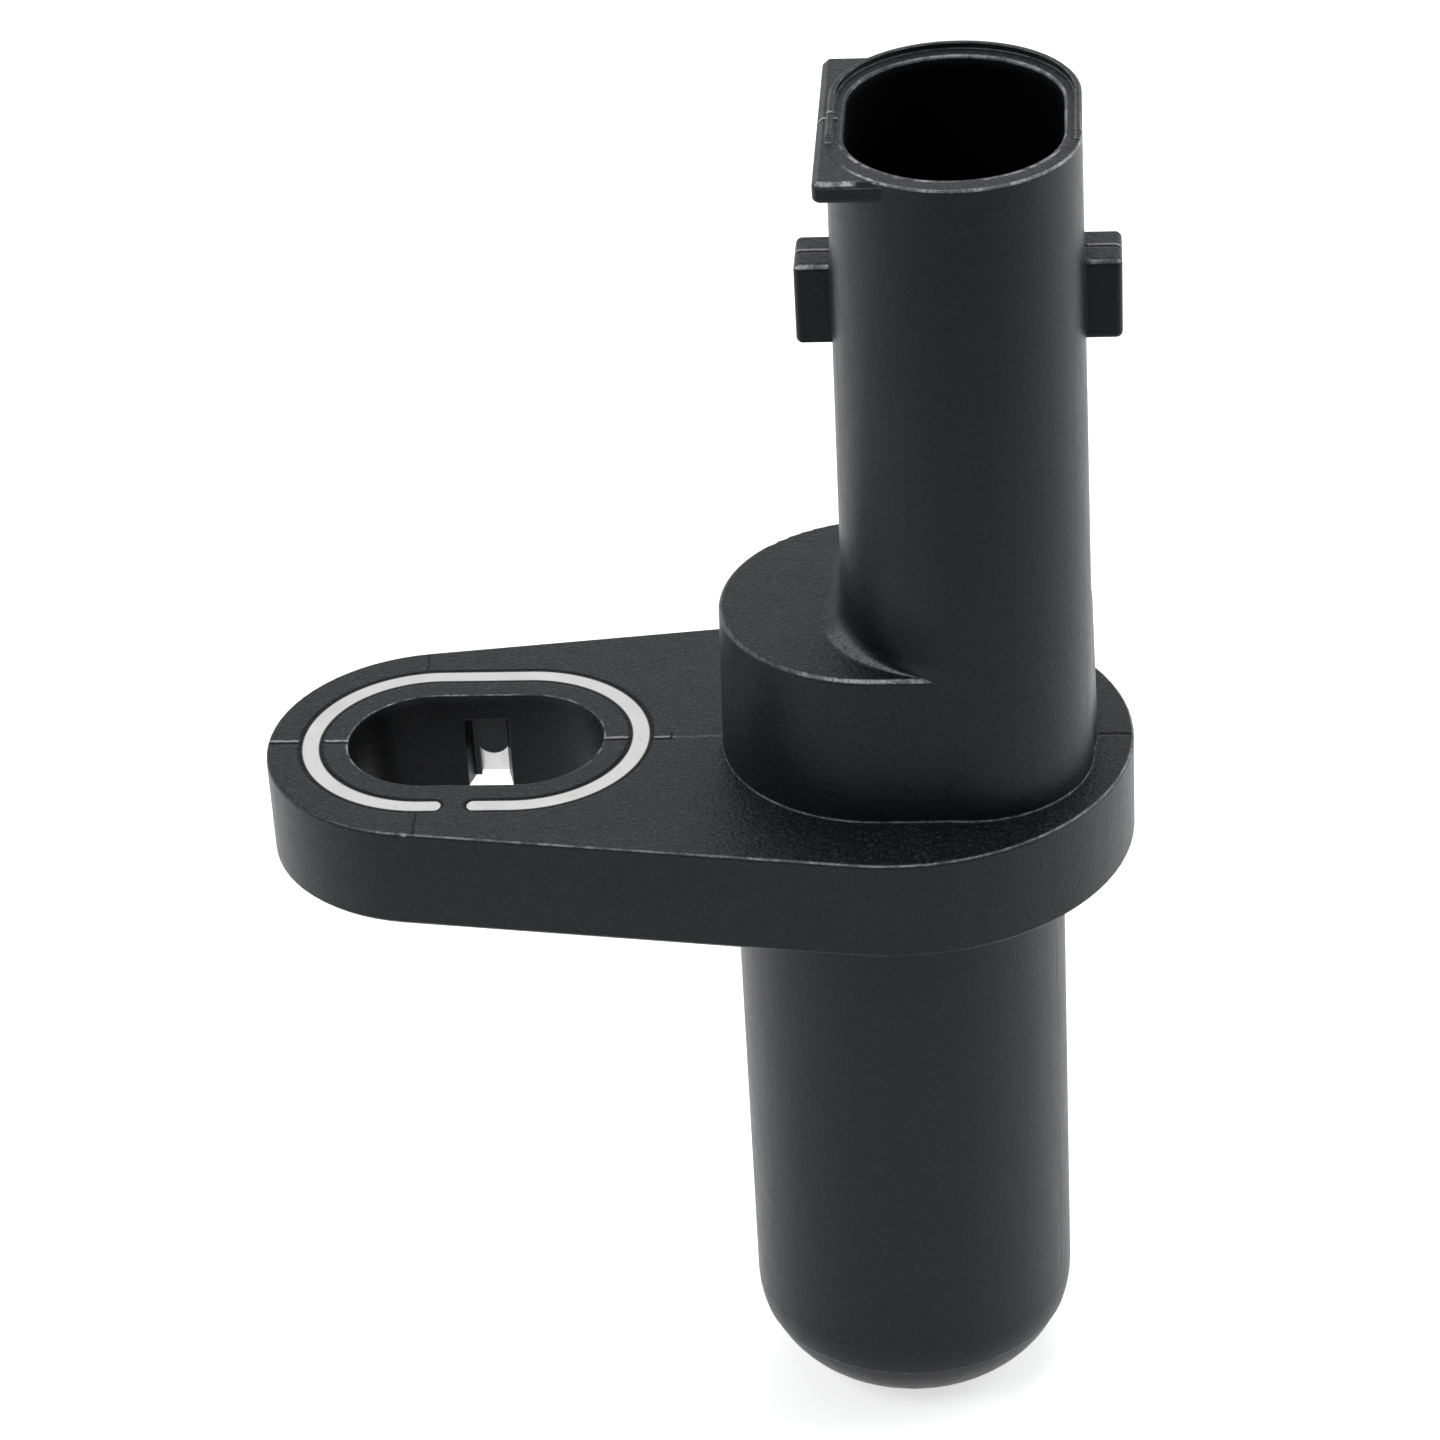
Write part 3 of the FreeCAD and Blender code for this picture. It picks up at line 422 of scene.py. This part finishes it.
paints = {
    "housing_plastic": housing_paint(),
    "sleeve_steel": sleeve_paint(),
    "terminal_metal": metal_paint("terminal_tin", (0.62, 0.61, 0.58), (0.74, 0.73, 0.70), 0.22, 0.4),
    "lead_metal": metal_paint("lead_tin", (0.56, 0.56, 0.55), (0.7, 0.7, 0.69), 0.25, 0.45),
    "pole_iron": metal_paint("pole_iron_plain", (0.42, 0.42, 0.43), (0.54, 0.54, 0.55), 0.3, 0.5),
    "magnet_alloy": moulded_paint(
        "magnet_sintered", (0.3, 0.3, 0.31), (0.4, 0.4, 0.42), 0.45, 0.7, scale=6.0, depth=0.02),
    "carrier_plastic": moulded_paint(
        "carrier_brown", (0.07, 0.055, 0.045), (0.11, 0.09, 0.07), 0.45, 0.65, scale=4.0, depth=0.015),
    "chip_epoxy": moulded_paint(
        "chip_black", (0.02, 0.02, 0.022), (0.03, 0.03, 0.035), 0.35, 0.55, scale=7.0, depth=0.01),
    "capacitor_ceramic": moulded_paint(
        "capacitor_tan", (0.42, 0.3, 0.2), (0.58, 0.43, 0.3), 0.4, 0.6, scale=8.0, depth=0.008),
}
for part in frame["record"]["subparts"]:
    for slot in nodes[part["node"]].material_slots:
        slot.material = paints[part["material_slot"]]


def combine(tree, kind, first, second):
    node = tree.nodes.new("ShaderNodeMath")
    node.operation = kind
    tree.links.new(first, node.inputs[0])
    tree.links.new(second, node.inputs[1])
    return node.outputs[0]


def ramp(tree, value, low, high, first, last):
    node = tree.nodes.new("ShaderNodeMapRange")
    node.interpolation_type = "SMOOTHSTEP"
    tree.links.new(value, node.inputs["Value"])
    node.inputs["From Min"].default_value = low
    node.inputs["From Max"].default_value = high
    node.inputs["To Min"].default_value = first
    node.inputs["To Max"].default_value = last
    return node.outputs["Result"]


def background(tree, near):
    """How far a ray sees the white background: wholly from the camera, and by near from gloss and glass."""
    seen = tree.nodes.new("ShaderNodeLightPath").outputs
    both = combine(tree, "MAXIMUM", seen["Is Glossy Ray"], seen["Is Transmission Ray"])
    return combine(tree, "MAXIMUM", seen["Is Camera Ray"], combine(tree, "MULTIPLY", both, near))


def mixed(tree, share, first, second, output):
    node = tree.nodes.new("ShaderNodeMixShader")
    tree.links.new(share, node.inputs[0])
    tree.links.new(first, node.inputs[1])
    tree.links.new(second, node.inputs[2])
    tree.links.new(node.outputs[0], output.inputs["Surface"])


def depth_of(tree, kind):
    """The Y share of a texture coordinate, which grows away from the camera."""
    apart = tree.nodes.new("ShaderNodeSeparateXYZ")
    tree.links.new(tree.nodes.new("ShaderNodeTexCoord").outputs[kind], apart.inputs[0])
    return apart.outputs["Y"]


def floor():
    """Pale floor just under the probe's tip, which glossy faces see white near the part."""
    mesh = bpy.data.meshes.new("floor")
    half = 4.0
    level = cad_low.z - 0.0002
    corners = [(-half, -half, level), (half, -half, level), (half, half, level), (-half, half, level)]
    mesh.from_pydata(corners, [], [(0, 1, 2, 3)])
    made = bpy.data.objects.new("floor", mesh)
    bpy.context.scene.collection.objects.link(made)
    paint = bpy.data.materials.new("floor_pale")
    paint.use_nodes = True
    tree = paint.node_tree
    tree.nodes.clear()
    output = tree.nodes.new("ShaderNodeOutputMaterial")
    near = ramp(tree, depth_of(tree, "Object"), low=-0.16, high=-0.04, first=0.1, last=0.95)
    plain = tree.nodes.new("ShaderNodeBsdfDiffuse")
    plain.inputs["Color"].default_value = (0.7, 0.7, 0.7, 1)
    glow = tree.nodes.new("ShaderNodeEmission")
    glow.inputs["Strength"].default_value = 0.62
    lit = tree.nodes.new("ShaderNodeAddShader")
    tree.links.new(plain.outputs[0], lit.inputs[0])
    tree.links.new(glow.outputs[0], lit.inputs[1])
    mixed(tree, background(tree, near), plain.outputs[0], lit.outputs[0], output)
    mesh.materials.append(paint)


def sky():
    """Soft room light, brighter behind the part, with a white background for the camera."""
    world = bpy.data.worlds.new("studio")
    bpy.context.scene.world = world
    world.use_nodes = True
    tree = world.node_tree
    tree.nodes.clear()
    output = tree.nodes.new("ShaderNodeOutputWorld")
    depth = depth_of(tree, "Generated")
    room = tree.nodes.new("ShaderNodeBackground")
    room.inputs["Color"].default_value = (0.96, 0.99, 1.04, 1)
    strength = ramp(tree, depth, low=-0.7, high=0.8, first=0.12, last=0.75)
    tree.links.new(strength, room.inputs["Strength"])
    white = tree.nodes.new("ShaderNodeBackground")
    white.inputs["Color"].default_value = (1, 1, 1, 1)
    near = ramp(tree, depth, low=0.3, high=0.9, first=0.35, last=0.8)
    mixed(tree, background(tree, near), room.outputs[0], white.outputs[0], output)


def lamp(name, place, aim, wide, high, power):
    data = bpy.data.lights.new(name, "AREA")
    data.shape = "RECTANGLE"
    data.size = wide
    data.size_y = high
    data.energy = power
    made = bpy.data.objects.new(name, data)
    made.location = place
    made.rotation_mode = "QUATERNION"
    made.rotation_quaternion = (Vector(aim) - Vector(place)).to_track_quat("-Z", "Y")
    bpy.context.scene.collection.objects.link(made)


def camera():
    """Camera at the photograph's angle, its axes and its place fitted to the part's outlines."""
    data = bpy.data.cameras.new("camera")
    data.sensor_fit = "HORIZONTAL"
    data.sensor_width = 36.0
    data.lens = 123.31
    data.clip_start = 0.01
    data.clip_end = 20.0
    made = bpy.data.objects.new("camera", data)
    across = Vector((0.99714, 0.05668, -0.04994))
    up = Vector((0.01240, 0.52933, 0.84833))
    back = Vector((0.07452, -0.84652, 0.52711))
    turned = Matrix((across, up, back)).transposed().to_4x4()
    made.matrix_world = Matrix.Translation((0.010466, -0.226343, 0.147835)) @ turned
    bpy.context.scene.collection.objects.link(made)
    bpy.context.scene.camera = made


floor()
sky()
lamp("key", (-0.35, -0.35, 0.45), (0, 0, 0.005), 0.3, 0.3, 1.5)
lamp("left_wall", (-0.45, 0.12, 0.05), (0, 0, 0), 0.25, 0.6, 0.75)
lamp("right_wall", (0.42, 0.1, 0.08), (0, 0, 0), 0.35, 0.6, 1.9)
lamp("top", (0.0, 0.15, 0.6), (0, 0, 0), 0.5, 0.5, 1.9)
camera()
bpy.context.scene.view_settings.view_transform = "Standard"
